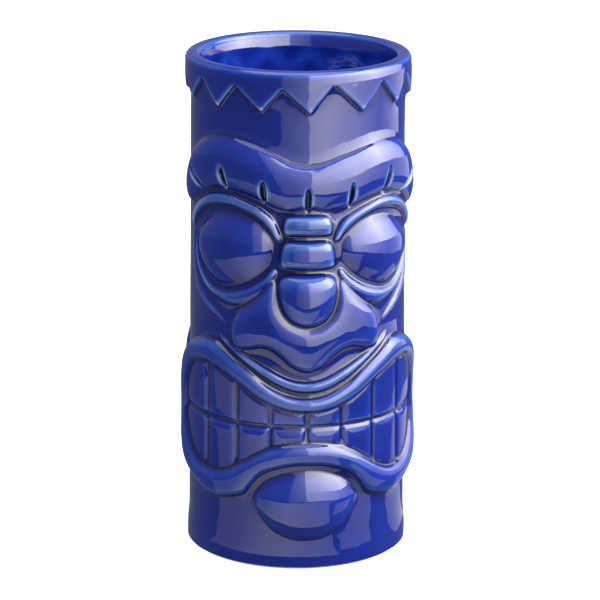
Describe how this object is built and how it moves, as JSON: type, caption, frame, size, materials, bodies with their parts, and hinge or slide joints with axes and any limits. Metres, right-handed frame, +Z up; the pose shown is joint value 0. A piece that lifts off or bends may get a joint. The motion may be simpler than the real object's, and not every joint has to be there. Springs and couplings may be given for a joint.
{
  "type": "tiki mug",
  "caption": "Straight-sided glazed ceramic tiki mug with a grinning face in relief, a zigzag band under the rim and a bare clay foot.",
  "frame": {"origin": "centre of the resting plane, on the axis of the round wall", "axes": "+Z up along the mug's axis, the front face looks along -Y, +X towards the viewer's right"},
  "size_m": [0.0802, 0.0832, 0.169],
  "materials": {
    "glaze_body": "gloss cobalt blue glaze",
    "glaze_thin": "gloss cobalt blue glaze, thin over the relief",
    "bare_clay": "unglazed fired clay"
  },
  "bodies": {
    "root": {"foot_ring": "bare_clay", "floor_disc": "glaze_body", "wall_tube": "glaze_body", "rim_lip": "glaze_thin", "rim_band": "glaze_thin", "front_brow": "glaze_thin", "front_left_upper_eyelid": "glaze_thin", "front_right_upper_eyelid": "glaze_thin", "front_left_eye": "glaze_body", "front_right_eye": "glaze_body", "front_left_lower_eyelid": "glaze_thin", "front_right_lower_eyelid": "glaze_thin", "front_left_cheek": "glaze_body", "front_right_cheek": "glaze_body", "front_nose_bridge_upper": "glaze_thin", "front_nose_bridge_lower": "glaze_thin", "front_nose_tip": "glaze_thin", "front_nostrils": "glaze_body", "front_lip_fold": "glaze_thin", "front_lips": "glaze_thin", "front_upper_teeth": "glaze_body", "front_lower_teeth": "glaze_body", "front_chin": "glaze_thin", "back_brow": "glaze_thin", "back_left_upper_eyelid": "glaze_thin", "back_right_upper_eyelid": "glaze_thin", "back_left_eye": "glaze_body", "back_right_eye": "glaze_body", "back_left_lower_eyelid": "glaze_thin", "back_right_lower_eyelid": "glaze_thin", "back_left_cheek": "glaze_body", "back_right_cheek": "glaze_body", "back_nose_bridge_upper": "glaze_thin", "back_nose_bridge_lower": "glaze_thin", "back_nose_tip": "glaze_thin", "back_nostrils": "glaze_body", "back_lip_fold": "glaze_thin", "back_lips": "glaze_thin", "back_upper_teeth": "glaze_body", "back_lower_teeth": "glaze_body", "back_chin": "glaze_thin"}
  },
  "joints": []
}
